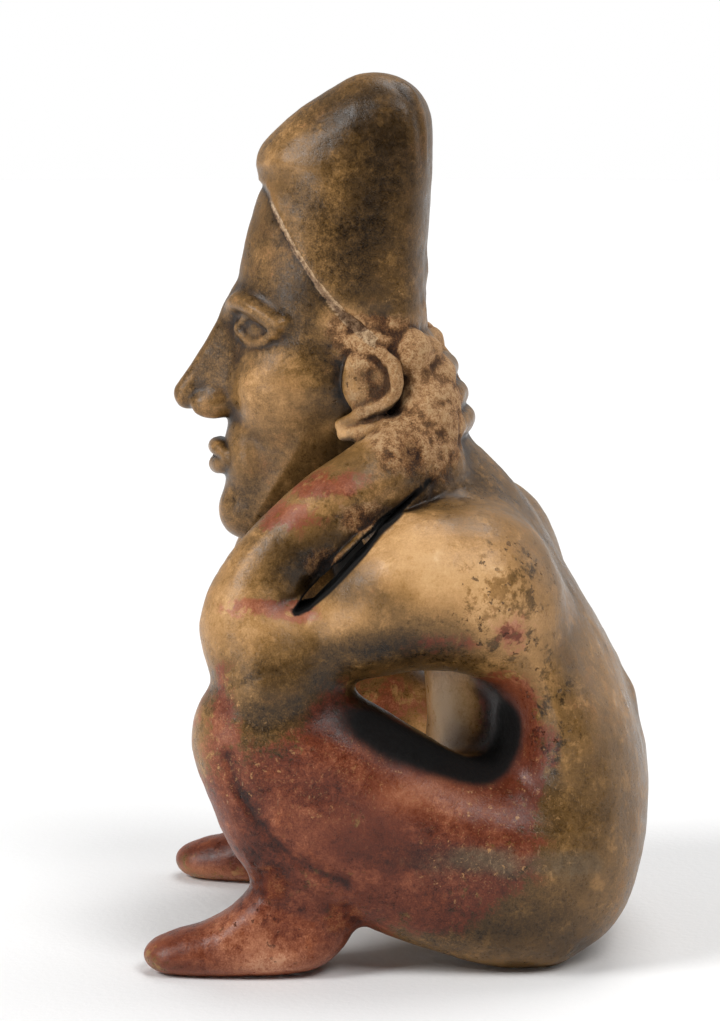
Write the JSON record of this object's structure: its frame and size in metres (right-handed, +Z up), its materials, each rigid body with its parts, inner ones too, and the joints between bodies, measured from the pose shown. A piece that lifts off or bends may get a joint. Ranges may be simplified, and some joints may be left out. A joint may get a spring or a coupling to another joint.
{
  "type": "jalisco figure",
  "caption": "Seated burnished clay figure in a tall cap, elbows on its knees and hands clasped behind its head, with open gaps between arms, thighs and trunk.",
  "frame": {"origin": "on the ground, under the middle of the figure's box", "axes": "+Z up, the figure faces -Y, its left side is +X"},
  "size_m": [0.1892, 0.2035, 0.3521],
  "materials": {
    "fired_clay": "burnished red and brown slip with smoke clouds, worn patches and grey deposit"
  },
  "bodies": {
    "root": {"seated_figure": "fired_clay"}
  },
  "joints": []
}
